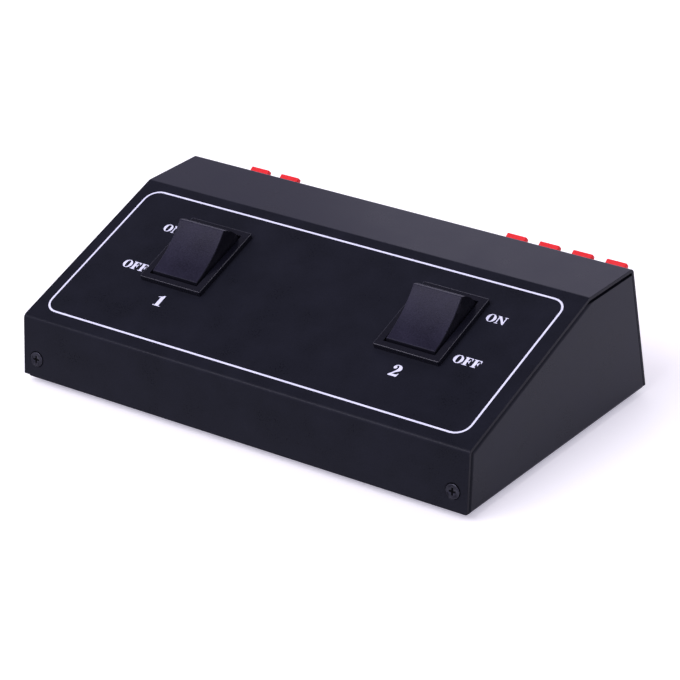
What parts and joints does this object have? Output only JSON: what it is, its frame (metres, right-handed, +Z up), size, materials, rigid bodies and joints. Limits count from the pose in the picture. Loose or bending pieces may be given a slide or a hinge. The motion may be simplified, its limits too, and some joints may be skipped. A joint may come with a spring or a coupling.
{
  "type": "speaker selector switch",
  "caption": "Low wedge-shaped black box with rocker switches on its sloping panel and push-lever wire terminals on its rear wall.",
  "frame": {"origin": "centre of the object's bounding box in plan, on the plane its feet stand on", "axes": "+X to the right seen from the front, +Y from the front wall to the rear terminals, +Z up"},
  "size_m": [0.18, 0.1112, 0.0504],
  "materials": {
    "black_powder_coat": "fine-textured black powder coat",
    "foot_rubber": "matte rubber",
    "black_screw": "blackened steel",
    "switch_body": "moulded, slight sheen",
    "rocker_face": "finely textured",
    "nylon": "natural nylon",
    "spring_wire": "bright spring wire",
    "contact_metal": "stamped",
    "blade_brass": "stamped",
    "tinned_brass": "tinned",
    "terminal_body": "moulded",
    "spring_strip": "nickel plated",
    "red_lever": "moulded",
    "black_lever": "moulded",
    "black_insulation": "PVC insulation",
    "red_insulation": "PVC insulation"
  },
  "bodies": {
    "case": {"base_tray": "black_powder_coat", "blade_receptacles": "tinned_brass", "bridge_wire_left": "red_insulation", "bridge_wire_right": "red_insulation", "cover_screws": "black_screw", "cover_shell": "black_powder_coat", "feet": "foot_rubber", "input_contact_springs": "spring_strip", "input_terminal_housing": "terminal_body", "input_terminal_plate": "terminal_body", "input_wire_left": "red_insulation", "input_wire_right": "red_insulation", "return_wire_left": "black_insulation", "return_wire_right": "black_insulation", "speaker_1_wire_left": "red_insulation", "speaker_1_wire_right": "red_insulation", "speaker_2_wire_left": "red_insulation", "speaker_2_wire_right": "red_insulation", "speaker_contact_springs": "spring_strip", "speaker_terminal_housing": "terminal_body", "speaker_terminal_plate": "terminal_body", "switch_1_common_blades": "blade_brass", "switch_1_housing": "switch_body", "switch_1_output_blades": "blade_brass", "switch_2_common_blades": "blade_brass", "switch_2_housing": "switch_body", "switch_2_output_blades": "blade_brass", "terminal_screws": "black_screw"},
    "rocker_1": {"switch_1_rocker": "rocker_face", "switch_1_plungers": "nylon", "switch_1_plunger_springs": "spring_wire"},
    "contacts_1": {"switch_1_contact_plates": "contact_metal"},
    "rocker_2": {"switch_2_rocker": "rocker_face", "switch_2_plungers": "nylon", "switch_2_plunger_springs": "spring_wire"},
    "contacts_2": {"switch_2_contact_plates": "contact_metal"},
    "input_lever_black_1": {"input_lever_black_1": "black_lever"},
    "input_lever_black_2": {"input_lever_black_2": "black_lever"},
    "input_lever_red_1": {"input_lever_red_1": "red_lever"},
    "input_lever_red_2": {"input_lever_red_2": "red_lever"},
    "speaker_lever_black_1": {"speaker_lever_black_1": "black_lever"},
    "speaker_lever_black_2": {"speaker_lever_black_2": "black_lever"},
    "speaker_lever_black_3": {"speaker_lever_black_3": "black_lever"},
    "speaker_lever_black_4": {"speaker_lever_black_4": "black_lever"},
    "speaker_lever_red_1": {"speaker_lever_red_1": "red_lever"},
    "speaker_lever_red_2": {"speaker_lever_red_2": "red_lever"},
    "speaker_lever_red_3": {"speaker_lever_red_3": "red_lever"},
    "speaker_lever_red_4": {"speaker_lever_red_4": "red_lever"}
  },
  "joints": [
    {"name": "rocker_1_hinge", "type": "hinge", "parent": "case", "child": "rocker_1", "pos_m": [-0.0479, -0.01157, 0.03797], "axis": [-1, 0, 0], "range_deg": [0, 40]},
    {"name": "contacts_1_hinge", "type": "hinge", "parent": "case", "child": "contacts_1", "pos_m": [-0.0479, -0.00714, 0.02564], "axis": [1, 0, 0], "range_deg": [0, 14]},
    {"name": "rocker_2_hinge", "type": "hinge", "parent": "case", "child": "rocker_2", "pos_m": [0.0479, -0.01157, 0.03797], "axis": [-1, 0, 0], "range_deg": [0, 40]},
    {"name": "contacts_2_hinge", "type": "hinge", "parent": "case", "child": "contacts_2", "pos_m": [0.0479, -0.00714, 0.02564], "axis": [1, 0, 0], "range_deg": [0, 14]},
    {"name": "input_lever_black_1_hinge", "type": "hinge", "parent": "case", "child": "input_lever_black_1", "pos_m": [-0.0686, 0.04452, 0.01593], "axis": [-1, 0, 0], "range_deg": [0, 16], "stiffness_Nm_per_rad": 0.03, "springref_deg": -34.38},
    {"name": "input_lever_black_2_hinge", "type": "hinge", "parent": "case", "child": "input_lever_black_2", "pos_m": [-0.0556, 0.04452, 0.01593], "axis": [-1, 0, 0], "range_deg": [0, 16], "stiffness_Nm_per_rad": 0.03, "springref_deg": -34.38},
    {"name": "input_lever_red_1_hinge", "type": "hinge", "parent": "case", "child": "input_lever_red_1", "pos_m": [-0.0686, 0.04099, 0.03358], "axis": [-1, 0, 0], "range_deg": [0, 16], "stiffness_Nm_per_rad": 0.03, "springref_deg": -34.38},
    {"name": "input_lever_red_2_hinge", "type": "hinge", "parent": "case", "child": "input_lever_red_2", "pos_m": [-0.0556, 0.04099, 0.03358], "axis": [-1, 0, 0], "range_deg": [0, 16], "stiffness_Nm_per_rad": 0.03, "springref_deg": -34.38},
    {"name": "speaker_lever_black_1_hinge", "type": "hinge", "parent": "case", "child": "speaker_lever_black_1", "pos_m": [0.0394, 0.04452, 0.01593], "axis": [-1, 0, 0], "range_deg": [0, 16], "stiffness_Nm_per_rad": 0.03, "springref_deg": -34.38},
    {"name": "speaker_lever_black_2_hinge", "type": "hinge", "parent": "case", "child": "speaker_lever_black_2", "pos_m": [0.0524, 0.04452, 0.01593], "axis": [-1, 0, 0], "range_deg": [0, 16], "stiffness_Nm_per_rad": 0.03, "springref_deg": -34.38},
    {"name": "speaker_lever_black_3_hinge", "type": "hinge", "parent": "case", "child": "speaker_lever_black_3", "pos_m": [0.0654, 0.04452, 0.01593], "axis": [-1, 0, 0], "range_deg": [0, 16], "stiffness_Nm_per_rad": 0.03, "springref_deg": -34.38},
    {"name": "speaker_lever_black_4_hinge", "type": "hinge", "parent": "case", "child": "speaker_lever_black_4", "pos_m": [0.0784, 0.04452, 0.01593], "axis": [-1, 0, 0], "range_deg": [0, 16], "stiffness_Nm_per_rad": 0.03, "springref_deg": -34.38},
    {"name": "speaker_lever_red_1_hinge", "type": "hinge", "parent": "case", "child": "speaker_lever_red_1", "pos_m": [0.0394, 0.04099, 0.03358], "axis": [-1, 0, 0], "range_deg": [0, 16], "stiffness_Nm_per_rad": 0.03, "springref_deg": -34.38},
    {"name": "speaker_lever_red_2_hinge", "type": "hinge", "parent": "case", "child": "speaker_lever_red_2", "pos_m": [0.0524, 0.04099, 0.03358], "axis": [-1, 0, 0], "range_deg": [0, 16], "stiffness_Nm_per_rad": 0.03, "springref_deg": -34.38},
    {"name": "speaker_lever_red_3_hinge", "type": "hinge", "parent": "case", "child": "speaker_lever_red_3", "pos_m": [0.0654, 0.04099, 0.03358], "axis": [-1, 0, 0], "range_deg": [0, 16], "stiffness_Nm_per_rad": 0.03, "springref_deg": -34.38},
    {"name": "speaker_lever_red_4_hinge", "type": "hinge", "parent": "case", "child": "speaker_lever_red_4", "pos_m": [0.0784, 0.04099, 0.03358], "axis": [-1, 0, 0], "range_deg": [0, 16], "stiffness_Nm_per_rad": 0.03, "springref_deg": -34.38}
  ],
  "couplings": [
    {"joint": "contacts_1_hinge", "follows": "rocker_1_hinge", "ratio": 0.35},
    {"joint": "contacts_2_hinge", "follows": "rocker_2_hinge", "ratio": 0.35}
  ]
}
